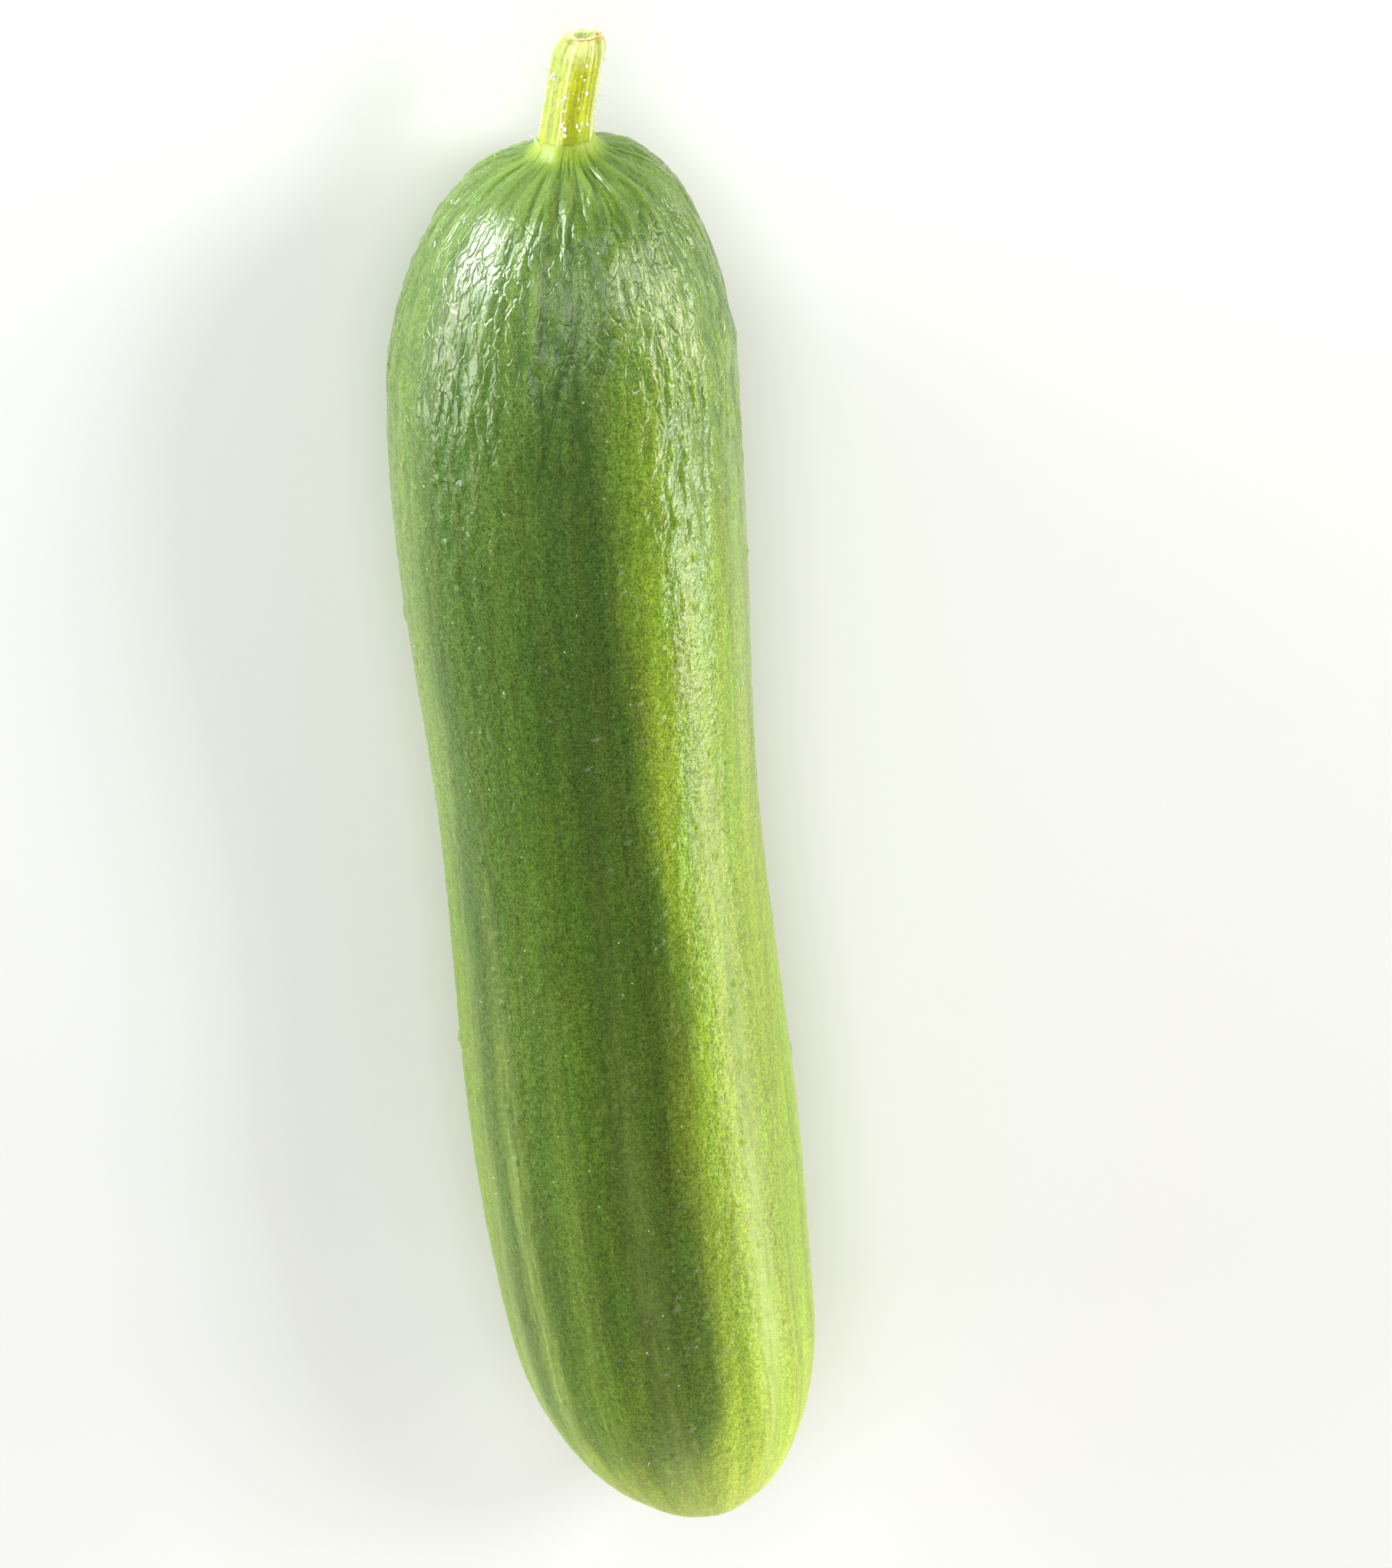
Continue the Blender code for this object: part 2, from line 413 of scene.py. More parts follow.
def fineRelief(along, turn, radius, reach, bumps):
    # The height of the fine relief, and how deep in a furrow this is, which darkens the colour as painted
    # shade
    # reach runs along the skin from the stem's pole, so that furrows follow the shoulder too
    furrow = furrowAt(along, turn, radius, reach)
    crease = creaseAt(along, turn, reach)
    around = fruit["radius"] / relief["pebbleWidth"]
    pebble = roundRipple(turn, reach, around, relief["pebbleLength"], 9)
    size = relief["swellSize"]
    swell = ripple(along / 2 / size, radius * cos(turn) / size, radius * sin(turn) / size, 1)
    rough = 1 - relief["sleekShare"] * sleekAt(along, turn)
    height = relief["swell"] * swell + relief["pebble"] * pebble * rough
    height += (relief["crease"] * crease - relief["furrow"] * furrow) * rough
    height += relief["bumpHeight"] * bumpAt(along, turn, radius, bumps)
    if along < fruit["length"] / 2:
        height -= crown["foldDepth"] * crownFold(turn, radius, reach) * rough
    # What darkens the colour as painted shade: the furrows, less on the crests of creases
    shade = (furrow - relief["creaseLight"] * crease) * rough
    return height * smooth(*relief["start"], radius), clamp(shade)


def crownSway(turn, reach):
    # How far the lines round the stalk have wandered sideways here
    return crown["sway"] * roundNoise(turn, reach, *crown["swayNoise"])


def crownFold(turn, radius, reach):
    # From 0 to 1 in the middle of a fold; some folds are deep, others hardly there
    swayed = turn + crownSway(turn, reach)
    swayed += crown["foldSway"] * roundNoise(turn, 0, *crown["foldSwayNoise"])
    fold = (0.5 - 0.5 * cos(crown["folds"] * swayed)) ** crown["foldSharpness"]
    fold *= smooth(*crown["foldEdge"], roundNoise(turn, reach, *crown["foldNoise"]))
    return fold * smooth(*crown["foldStart"], radius) * (1 - smooth(*crown["foldFade"], reach))


def crownMarks(turn, radius, reach):
    # Light streaks round the stalk and the grooves between them, darkened partly as painted shade and
    # partly for their own darker green, from 0 to 1, uneven all round
    near = 1 - smooth(*crown["inner"], radius)
    start = smooth(*crown["outset"], radius)
    around = fruit["radius"] / crown["streakWidth"]
    fine = roundRipple(turn, reach, around, crown["streakLength"])
    outer = smooth(*crown["streakEdge"], fine) * (1 - near)
    wave = grooveWave(turn + crownSway(turn, reach))
    draw = smooth(*crown["lengthEdge"], roundNoise(turn, 0, *crown["lengthNoise"]))
    end = crown["shortest"] + (crown["longest"] - crown["shortest"]) * draw
    fold = crownFold(turn, radius, reach)
    strength = crown["faintest"] + (1 - crown["faintest"]) * draw
    inner = clamp(1 + crown["grooveLoss"] * wave - crown["foldLoss"] * fold) * strength * near
    streak = clamp(inner + crown["fineShare"] * outer) * start * (1 - smooth(crown["start"], end, reach))
    deep = smooth(*crown["shadeEdge"], roundNoise(turn, reach, *crown["shadeNoise"]))
    return streak, max(-crown["grooveShade"] * wave * near * start * deep, fold)


# Pale lines that gather towards the blossom end
paleLines = {
    "start": (0.30, 0.86), "widening": 0.6,  # where they set in, and how much wider they get
    "wander": radians(2.5), "bends": 5, "apart": 7.3,
    # Turn in degrees, strength, width in degrees
    "lines": [
        (22, 0.35, 4.0), (40, 0.65, 2.8), (64, 0.18, 4.0), (88, 0.25, 3.5), (112, 0.15, 3.0),
        (132, 1.00, 3.6), (148, 0.45, 3.0), (178, 0.70, 3.4), (212, 0.45, 3.0), (246, 0.80, 3.4),
        (281, 0.50, 2.8), (318, 0.80, 3.4), (352, 0.50, 3.0),
    ],
}


def paleLine(along, turn):
    share = along / fruit["length"]
    reach = smooth(*paleLines["start"], share)
    total = 0.0
    for number, (degrees, strength, width) in enumerate(paleLines["lines"]):
        bend = noise.noise(Vector((share * paleLines["bends"], number * paleLines["apart"], 0)))
        gap = turnGap(turn, radians(degrees) + paleLines["wander"] * bend)
        total += strength * hump(gap, 0, radians(width * (1 + paleLines["widening"] * reach)))
    return clamp(total) * reach


def makeFruit(material):
    bm = rollProfile(fruitProfile(), fruit["sides"])
    placeLayer = bm.verts.layers.float_vector.new("skinPlace")
    marksLayer = bm.verts.layers.float_vector.new("skinMarks")
    sleekLayer = bm.verts.layers.float.new("skinSleek")
    spots = []
    for vert in bm.verts:
        along, radius = -vert.co.x, hypot(vert.co.y, vert.co.z)
        turn = atan2(vert.co.z, vert.co.y)
        spots.append((along, turn, radius))
        vert.co += vert.normal * formRelief(along, turn, radius) + coreOffset(along)
    # The plain form fits the solid's box, so its place is measured before the fine relief is added
    formLow = [min(vert.co[axis] for vert in bm.verts) for axis in range(3)]
    formHigh = [max(vert.co[axis] for vert in bm.verts) for axis in range(3)]
    boxLow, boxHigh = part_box("fruit")
    move = Vector((
        boxLow.x - formLow[0], (boxLow.y + boxHigh.y - formLow[1] - formHigh[1]) / 2, -fruit["flatDepth"]
    ))
    bm.normal_update()
    bumps = makeBumps()
    shifts = []
    for vert, (along, turn, radius) in zip(bm.verts, spots):
        body = bodyRadius(along)
        reach = along + (body - radius) * (-1 if along < fruit["length"] / 2 else 1)
        fine, furrow = fineRelief(along, turn, radius, reach, bumps)
        streak, groove = crownMarks(turn, radius, reach)
        rise = Vector()
        if along < fruit["length"] / 2:
            outward = max(radius, fruit["firstRing"]) - relief["collarStart"]
            onCollar = exp(-outward / relief["collarReach"])
            height = relief["collar"] * onCollar
            rise = Vector((height, 0, 0)) + stalkOffset(height) - stalkOffset(0)
            rib = relief["collarRib"] * min(1, onCollar) * stalkRidge(turn)
            rise += Vector((0, cos(turn), sin(turn))) * rib
            furrow += groove
        shifts.append(vert.normal * fine + rise)
        share = (reach + fruit["radius"]) / (fruit["length"] + 2 * fruit["radius"])
        vert[placeLayer] = (cos(turn), sin(turn), share)
        # The third mark darkens furrows, creases and crown grooves: painted shade, partly their own darker
        # green
        vert[marksLayer] = (paleLine(along, turn), streak, clamp(furrow))
        vert[sleekLayer] = sleekAt(along, turn)
    for vert, shift in zip(bm.verts, shifts):
        vert.co += shift
    whole = bm.verts[:] + bm.edges[:] + bm.faces[:]
    cut = bmesh.ops.bisect_plane(
        bm, geom=whole, plane_co=(0, 0, fruit["flatDepth"]), plane_no=(0, 0, -1), clear_outer=True
    )
    rim = [item for item in cut["geom_cut"] if isinstance(item, bmesh.types.BMEdge)]
    bmesh.ops.contextual_create(bm, geom=rim)
    bmesh.ops.translate(bm, verts=bm.verts, vec=move)
    bm.normal_update()
    skinSpots = [
        (vert.co.copy(), vert.normal.copy()) for vert in bm.verts if vert.co.z > bristles["skinAbove"]
    ]
    return finishPiece("cucumberSkin", bm, material, "fruit"), skinSpots, move


# An effect of all the plant's materials: fine mottling, a fine noise with some of a coarser one
grainForm = {
    "fineness": 100, "detail": 4.0, "rough": 0.65, "coarse": 0.3, "fineShare": 0.82, "coarseShare": 0.18,
}


def makeGrainGroup():
    group = bpy.data.node_groups.new("fineGrain", "ShaderNodeTree")
    group.interface.new_socket("Place", in_out="INPUT", socket_type="NodeSocketVector")
    size = group.interface.new_socket("Fineness", in_out="INPUT", socket_type="NodeSocketFloat")
    size.default_value = grainForm["fineness"]
    group.interface.new_socket("Shade", in_out="OUTPUT", socket_type="NodeSocketFloat")
    group.interface.new_socket("Height", in_out="OUTPUT", socket_type="NodeSocketFloat")
    place, fineness = group.nodes.new("NodeGroupInput").outputs[:2]
    end = group.nodes.new("NodeGroupOutput")
    fine = noisy(group, place, fineness, grainForm["detail"], grainForm["rough"])
    coarse = noisy(group, place, times(group, fineness, grainForm["coarse"]))
    shade = plus(group, times(group, fine, grainForm["fineShare"]),
                 times(group, coarse, grainForm["coarseShare"]))
    group.links.new(shade, end.inputs["Shade"])
    group.links.new(fine, end.inputs["Height"])
    return group


grainGroup = makeGrainGroup()


def grain(tree, place, fineness):
    node = addNode(tree, "ShaderNodeGroup", {"node_tree": grainGroup}, Place=place, Fineness=fineness)
    return node.outputs["Shade"], node.outputs["Height"]


# The skin. Changes, such as fades, are written as from where to where, then from which number to which,
# 0 to 1 if not given. Noises are how fine they are round the fruit and along it, then detail and
# roughness. Bumps are strength and distance.
skin = {
    # Colours from stem to blossom, on the side with painted shade and on the side with painted sunlight
    # The bright stops towards the blossom end are its own yellowing, partly painted light for a tip turned
    # away from the lamps
    "darkSidePaintedShade": [
        (0.0138, (0.270, 0.370, 0.020)), (0.023, (0.110, 0.190, 0.026)), (0.12, (0.073, 0.130, 0.022)),
        (0.33, (0.055, 0.104, 0.013)), (0.52, (0.056, 0.104, 0.008)), (0.74, (0.063, 0.114, 0.008)),
        (0.84, (0.115, 0.195, 0.014)), (0.92, (0.420, 0.530, 0.050)), (0.96, (0.540, 0.650, 0.090)),
        (0.985, (0.400, 0.420, 0.110)), (0.991, (0.330, 0.260, 0.110)),
    ],
    "paleSidePaintedSun": [
        (0.0138, (0.270, 0.370, 0.020)), (0.023, (0.125, 0.220, 0.026)), (0.12, (0.120, 0.205, 0.024)),
        (0.33, (0.158, 0.250, 0.015)), (0.52, (0.180, 0.270, 0.011)), (0.74, (0.200, 0.298, 0.010)),
        (0.84, (0.270, 0.370, 0.013)), (0.92, (0.440, 0.540, 0.050)), (0.96, (0.540, 0.650, 0.090)),
        (0.985, (0.400, 0.420, 0.110)), (0.991, (0.330, 0.260, 0.110)),
    ],
    # The darker top is painted shade and the paler flank painted sunlight, both partly the skin's own
    # colour
    # The top is darkest, one flank is palest, and the rest lies between them, with wavering edges
    "paintedShadeTurn": radians(66), "paintedShadeEdge": (0.56, 0.80),
    "paintedSunTurn": radians(135), "paintedSunEdge": (0.50, 0.92), "between": 0.42,
    "waver": 0.30, "waverNoise": (3.0, 7.0, 3.0),
    # The top's painted shade is a little narrower in the stem's half and much narrower at the blossom end
    "shadeNarrowStart": (0.40, 0.54, -0.09, 0.0), "shadeNarrowEnd": (0.77, 0.88, 0.0, -0.30),
    # The pale blossom end reaches up the fruit in fingers
    "fingers": 0.09, "fingerNoise": (6.0, 2.2, 2.0), "fingerFades": [(0.50, 0.80), (0.90, 0.97, 1.0, 0.0)],
    # Broad and fine streaks, a slow shift of hue, mottling and a stipple of small dots
    "broadNoise": (7.0, 4.0, 2.0), "broadDim": (0.3, 0.7, 0.86, 1.14),
    "fineNoise": (26.0, 22.0, 3.0, 0.6), "fineDim": (0.3, 0.7, 0.90, 1.10),
    "hueNoise": (11.0, 9.0, 3.0), "redDim": (0.3, 0.7, 0.93, 1.09),
    "grainScale": (0.48, 4.6), "grain": 165, "grainDim": (0.36, 0.64, 0.55, 1.45),
    "pepper": 2600, "pepperDim": (0.36, 0.64, 0.86, 1.14),
    # What is stretched along the fruit would turn to hairs at the poles, so it fades out there
    "body": [(0.012, 0.045), (0.945, 0.985, 1.0, 0.0)],
    # Light streaks round the crown and pale lines, both broken up by the fine streaks, and dark furrows
    "crownStreak": (0.170, 0.268, 0.042), "streakBreaks": (0.3, 0.6, 0.4, 0.9),
    "paleLine": (0.360, 0.450, 0.120), "lineBreaks": (0.35, 0.65, 0.30, 0.70),
    # The furrows' dark colour is partly their own darker green and partly painted shade in them
    "furrow": (0.032, 0.095, 0.010), "furrowShadeShare": 0.6, "furrowFade": (0.30, 0.50, 1.0, 0.35),
    "speck": (0.42, 0.50, 0.25), "speckScale": 420.0, "speckSize": 0.05, "speckShare": 0.5,
    # Roughness: glossiest on the shoulder and duller towards the blossom end and by the stalk
    "rough": [(0.25, 0.65, 0.17, 0.37), (0.78, 0.92, 0.0, 0.12), (0.012, 0.030, 0.30, 0.0)],
    "roughGrain": (0.3, 0.7, -0.05, 0.07),
    "wax": [(0.020, 0.050, 0.0, 0.32), (0.13, 0.34, 1.0, 0.0)],
    # Orange peel, weaker on the smooth shoulder and weakest on its sleek part
    "peel": (1500.0, 2.0), "peelFades": [(0.14, 0.30, 0.45, 0.80), (0.62, 0.90, 1.0, 0.45)],
    "peelSleek": (0.1, 0.8, 1.0, 0.25), "peelShare": 0.62, "peelBump": (1.0, 0.00022),
    # Further down, small domes of unequal height that catch the light
    "domes": 540, "domeForm": (0.0, 0.32, 1.0, 0.0), "domeHeight": (0.2, 0.9),
    "domeFades": [(0.14, 0.28, 0.0, 0.75), (0.80, 0.92, 1.0, 0.3)],
    # The shoulder is crazed like crepe by short, mostly lengthwise cracks
    "crackScale": (11.0, 60.0), "crackWarp": 0.8, "crackWarpDetail": 2.0, "crackBend": (1.8, 1.8),
    "crackForm": (0.0, 0.16), "crackFades": [(0.040, 0.075), (0.17, 0.27, 1.0, 0.0)], "crackShare": 0.75,
    "fibreNoise": (40.0, 60.0, 2.0), "fibreStart": (0.16, 0.34, 0.15, 0.60),
    "fibreBump": (0.6, 0.00008), "grainBump": (0.5, 0.00003),
    "shader": {
        "Coat Roughness": 0.24, "Specular IOR Level": 0.32,
        "Sheen Weight": 0.04, "Sheen Roughness": 0.35, "Sheen Tint": (0.85, 1.0, 0.50, 1.0),
        "Subsurface Weight": 0.12, "Subsurface Radius": (1.0, 0.85, 0.3), "Subsurface Scale": 0.0016,
    },
}


def makeSkinMaterial():
    material, tree, shader = newMaterial("cucumberSkinGreen", skin["shader"])
    place = stored(tree, "skinPlace")
    spot = addNode(tree, "ShaderNodeTexCoord").outputs["Object"]
    parts = split(tree, place)
    along = parts["Z"]
    lines, streak, furrow = split(tree, stored(tree, "skinMarks"))
    body = faded(tree, 1.0, along, *skin["body"])

    # How much painted shade and painted sunlight this side gets, and how far the fruit has ripened here
    waver = centred(tree, streaky(tree, place, *skin["waverNoise"]), skin["waver"])

    def facing(turn, edge, shift=0.0):
        toTurn = plus(tree, towards(tree, parts, turn), waver)
        return ranged(tree, plus(tree, toTurn, shift), *edge)

    flank = times(tree, facing(skin["paintedSunTurn"], skin["paintedSunEdge"]), 1 - skin["between"])
    shadeNarrowing = plus(tree, ranged(tree, along, *skin["shadeNarrowStart"]),
                     ranged(tree, along, *skin["shadeNarrowEnd"]))
    # Painted shade on the top and painted sunlight on one flank, partly the skin's own darker and paler
    # sides
    dark = facing(skin["paintedShadeTurn"], skin["paintedShadeEdge"], shadeNarrowing)
    pale = times(tree, plus(tree, flank, skin["between"]), maths(tree, "SUBTRACT", 1.0, dark))
    fingers = centred(tree, streaky(tree, place, *skin["fingerNoise"]), skin["fingers"])
    tone = plus(tree, along, faded(tree, fingers, along, *skin["fingerFades"]))
    colour = mixed(tree, pale, ramped(tree, tone, skin["darkSidePaintedShade"]),
                   ramped(tree, tone, skin["paleSidePaintedSun"]))

    # What shades, streaks and dots it
    broad = streaky(tree, place, *skin["broadNoise"])
    hue = streaky(tree, place, *skin["hueNoise"])
    fine = streaky(tree, place, *skin["fineNoise"])
    shade, grainHeight = grain(tree, stretched(tree, place, *skin["grainScale"]), skin["grain"])
    pepper, pepperHeight = grain(tree, spot, skin["pepper"])
    dim = faded(tree, ranged(tree, broad, *skin["broadDim"]), fine, skin["fineDim"])
    dim = faded(tree, dim, shade, skin["grainDim"])
    dim = maths(tree, "MULTIPLY_ADD", maths(tree, "SUBTRACT", dim, 1.0), body, 1.0)
    dim = faded(tree, dim, pepper, skin["pepperDim"])
    colour = dimmed(tree, colour, faded(tree, dim, hue, skin["redDim"]), dim)
    streak = faded(tree, streak, fine, skin["streakBreaks"])
    colour = mixed(tree, streak, colour, skin["crownStreak"])
    # Painted shade in the furrows, creases and crown grooves, partly their own darker green
    furrow = times(tree, faded(tree, furrow, along, skin["furrowFade"]), skin["furrowShadeShare"])
    colour = mixed(tree, furrow, colour, skin["furrow"])
    colour = mixed(tree, faded(tree, lines, fine, skin["lineBreaks"]), colour, skin["paleLine"])
    toSpeck = cellular(tree, spot, skin["speckScale"])["Distance"]
    speck = times(tree, maths(tree, "LESS_THAN", toSpeck, skin["speckSize"]), skin["speckShare"])
    connect(tree, mixed(tree, speck, colour, skin["speck"]), shader.inputs["Base Color"])

    rough = ranged(tree, shade, *skin["roughGrain"])
    for change in skin["rough"]:
        rough = plus(tree, rough, ranged(tree, along, *change))
    connect(tree, rough, shader.inputs["Roughness"])
    connect(tree, faded(tree, 1.0, along, *skin["wax"]), shader.inputs["Coat Weight"])

    # Peel and domes, over them cracks and fibres, and the grain on top
    peel = faded(tree, noisy(tree, spot, *skin["peel"]), along, *skin["peelFades"])
    peel = faded(tree, peel, stored(tree, "skinSleek", "Fac"), skin["peelSleek"])
    cells = cellular(tree, spot, skin["domes"])
    dome = ranged(tree, cells["Distance"], *skin["domeForm"])
    dome = faded(tree, dome, cells["Color"], skin["domeHeight"])
    dome = faded(tree, dome, along, *skin["domeFades"])
    peel = maths(tree, "MULTIPLY_ADD", peel, skin["peelShare"], dome)
    net = stretched(tree, place, *skin["crackScale"])
    warp = addNode(tree, "ShaderNodeTexNoise", Vector=net, Scale=skin["crackWarp"],
                   Detail=skin["crackWarpDetail"]).outputs["Color"]
    bent = addNode(tree, "ShaderNodeVectorMath", {"operation": "ADD"})
    connect(tree, net, bent.inputs[0])
    connect(tree, stretched(tree, warp, *skin["crackBend"]), bent.inputs[1])
    cracks = addNode(tree, "ShaderNodeTexVoronoi", {"feature": "DISTANCE_TO_EDGE"},
                     Vector=bent.outputs[0], Scale=1.0)
    crackle = ranged(tree, cracks.outputs["Distance"], *skin["crackForm"])
    crackle = faded(tree, crackle, along, *skin["crackFades"])
    fibres = times(tree, streaky(tree, place, *skin["fibreNoise"]), body)
    fibres = faded(tree, fibres, along, skin["fibreStart"])
    fibres = maths(tree, "MULTIPLY_ADD", crackle, skin["crackShare"], fibres)
    grainHeight = plus(tree, times(tree, grainHeight, body), pepperHeight)
    normal = bumped(tree, peel, *skin["peelBump"])
    normal = bumped(tree, fibres, *skin["fibreBump"], normal)
    normal = bumped(tree, grainHeight, *skin["grainBump"], normal)
    connect(tree, normal, shader.inputs["Normal"])
    connect(tree, normal, shader.inputs["Coat Normal"])
    return material


# The stub of the stalk
stalk = {
    "length": 0.0103, "radius": 0.00218, "flare": 0.00058, "flareReach": 0.0011,
    "driedReach": 0.0016, "driedShare": 0.25,
    "ridges": 5, "strongShare": 0.65, "ridgeHeight": 0.00013, "ridgeStart": (0.0002, 0.0020),
    "uneven": 0.00004, "unevenNoise": (5, 0.0015),
    "curl": (-8.5, -6.0), "cutSlant": (0.08, 0.12), "slantStart": (0.3, 1.0),
    "root": 0.0006, "rings": 96, "sides": 150, "cutRings": 22,
    # One side of the top has dried: its turn, its edge, and where it starts by height
    "driedTurn": radians(212), "driedEdge": (0.0, 0.7), "driedStart": (0.95, 0.99),
}

# The cut's relief: a curled rim, a ring of vessels, a sunken middle, torn flesh and a rounded, ragged edge
cutForm = {
    "reach": 0.0004,  # how far below the cut it starts
    "rim": 0.00018, "rimPlace": (0.93, 0.09), "rimShare": 0.7, "rimUneven": 0.8, "rimNoise": (2, 1, 5),
    "vessels": 0.00007, "vesselPlace": (0.66, 0.10), "vesselShare": 0.4, "vesselCount": 9,
    "pith": 0.00030, "pithEdge": (0.12, 0.62), "torn": 0.00006, "tornFineness": 3,
    "rounded": 0.00018, "roundedEdge": (0.90, 1.0),
    "ragged": 0.00022, "raggedNoise": (2.2, 1, 9), "raggedStart": (0.8, 1),
}


def stalkRadius(height):
    flare = stalk["flare"] * exp(-height / stalk["flareReach"])
    dried = max(0.0, height - stalk["length"] + stalk["driedReach"]) / stalk["driedReach"]
    return stalk["radius"] * (1 - stalk["driedShare"] * dried * dried) + flare


def stalkOffset(height):
    # The stub goes on along the core line's own direction, then bends
    step = fruit["length"] / 1000
    start = coreOffset(0)
    lean = (coreOffset(step) - start) / step
    bend = Vector((0, *stalk["curl"])) * max(0.0, height) ** 2
    return start - lean * height + bend


def stalkRidge(turn):
    # As many weak ridges as strong ones, from -1 to 1
    strong = stalk["strongShare"] * cos(stalk["ridges"] * turn)
    return strong + (1 - stalk["strongShare"]) * cos(2 * stalk["ridges"] * turn)


def stalkProfile():
    points = [(-stalk["root"], 0.0)]
    for ring in range(stalk["rings"] + 1):
        height = -stalk["root"] + (stalk["length"] + stalk["root"]) * ring / stalk["rings"]
        points.append((height, stalkRadius(height)))
    rim = stalkRadius(stalk["length"])
    for ring in range(1, stalk["cutRings"]):
        share = 1 - ring / stalk["cutRings"]
        points.append((stalk["length"], rim * share))
    return points + [(stalk["length"], 0.0)]


def cutRelief(share, turn):
    # Its height by the share of the cut's radius
    rim = cutForm["rim"] * hump(share, *cutForm["rimPlace"])
    rim *= cutForm["rimShare"] + cutForm["rimUneven"] * roundNoise(turn, 0, *cutForm["rimNoise"])
    vessels = cutForm["vesselShare"] + (1 - cutForm["vesselShare"]) * cos(cutForm["vesselCount"] * turn)
    vessels *= cutForm["vessels"] * hump(share, *cutForm["vesselPlace"])
    pith = cutForm["pith"] * (1 - smooth(*cutForm["pithEdge"], share))
    torn = cutForm["torn"] * roundRipple(turn, 0, share * cutForm["tornFineness"], 1, 2, 3)
    edge = cutForm["rounded"] * smooth(*cutForm["roundedEdge"], share)
    return rim + vessels - pith + torn - edge


def makeStalk(material, move):
    bm = rollProfile(stalkProfile(), stalk["sides"])
    marksLayer = bm.verts.layers.float_vector.new("stalkMarks")
    placeLayer = bm.verts.layers.float_vector.new("stalkPlace")
    slantY, slantZ = stalk["cutSlant"]
    rimRadius = stalkRadius(stalk["length"])
    for vert in bm.verts:
        height, y, z = vert.co
        radius, turn = hypot(y, z), atan2(z, y)
        upTo = height / stalk["length"]
        onCut = height > stalk["length"] - weldDistance
        share = radius / rimRadius if onCut else 1.0
        width = min(1, radius / stalk["radius"])
        ridge = stalkRidge(turn)
        raised = stalk["ridgeHeight"] * ridge * width * smooth(*stalk["ridgeStart"], height)
        raised += stalk["uneven"] * roundRipple(turn, height, *stalk["unevenNoise"]) * width
        outward = Vector((0, cos(turn), sin(turn))) if width > 0 else Vector()
        slant = (slantY * y + slantZ * z) * smooth(*stalk["slantStart"], upTo)
        lift = cutRelief(share, turn) * smooth(stalk["length"] - cutForm["reach"], stalk["length"], height)
        ragged = cutForm["ragged"] * roundRipple(turn, 0, *cutForm["raggedNoise"])
        ragged *= smooth(*cutForm["raggedStart"], upTo)
        vert.co += outward * raised + stalkOffset(height) + Vector((slant + lift + ragged * share, 0, 0))
        dried = smooth(*stalk["driedEdge"], cos(turn - stalk["driedTurn"]))
        dried *= smooth(*stalk["driedStart"], upTo)
        vert[marksLayer] = (0.5 + 0.5 * ridge, dried, 1 - share if onCut else 0)
        vert[placeLayer] = (cos(turn), sin(turn), upTo)
    bmesh.ops.translate(bm, verts=bm.verts, vec=move)
    bm.normal_update()
    spots = [(vert.co.copy(), vert.normal.copy()) for vert in bm.verts]
    finishPiece("stalkStub", bm, material, "stem")
    return spots


# The stalk's colours, changes and noises, written as the skin's are
stalkLook = {
    "sides": [
        (0.12, (0.290, 0.385, 0.015)), (0.34, (0.460, 0.505, 0.013)),
        (0.74, (0.460, 0.505, 0.013)), (0.93, (0.550, 0.590, 0.230)),
    ],
    # One face is painted full of colour as light and the flanks duller as shade, with a wavering edge, and
    # the ridges are pale
    "paintedLightTurn": radians(96), "paintedLightEdge": (0.78, 0.97, 0.90, 0.0), "paintedLightWaver": (0.3, 0.7, -0.12, 0.12),
    "flank": (0.260, 0.310, 0.055), "flankShadeStart": (0.1, 0.3),
    "ridge": (0.660, 0.700, 0.280), "ridgeEdge": (0.76, 0.99), "ridgeShare": 0.75,
    "ridgeBreaks": (0.3, 0.6, 0.4, 1.0),
    "fibreNoise": (9.0, 1.5, 3.0, 0.6), "fibreDim": (0.3, 0.7, 0.80, 1.14),
    "grain": 3000, "grainDim": (0.36, 0.64, 0.86, 1.14),
    # The cut from its rim inwards: pale flesh, greener pith and a dark pit, painted shade in its sunken
    # middle
    "cutZones": [
        (0.02, 0.14, (0.620, 0.650, 0.350)), (0.34, 0.52, (0.330, 0.400, 0.110)),
        (0.80, 0.96, (0.080, 0.090, 0.020)),
    ],
    # A thin broken brown line round it and one dried side
    "patch": (1100.0, 2.0), "line": (0.300, 0.190, 0.050), "lineBreaks": (0.40, 0.56, 0.1, 0.8),
    "lineEdges": [(0.005, 0.03), (0.05, 0.13, 1.0, 0.0)],
    "dried": (0.340, 0.150, 0.018), "driedEnd": (0.24, 0.52, 1.0, 0.0), "driedBreaks": (0.34, 0.50),
    "fibreBump": (0.6, 0.00006), "grainBump": (0.5, 0.00003),
    "shader": {
        "Roughness": 0.45, "Specular IOR Level": 0.28, "Sheen Weight": 0.15, "Sheen Roughness": 0.45,
        "Subsurface Weight": 0.70, "Subsurface Radius": (1.0, 0.9, 0.3), "Subsurface Scale": 0.0022,
    },
}


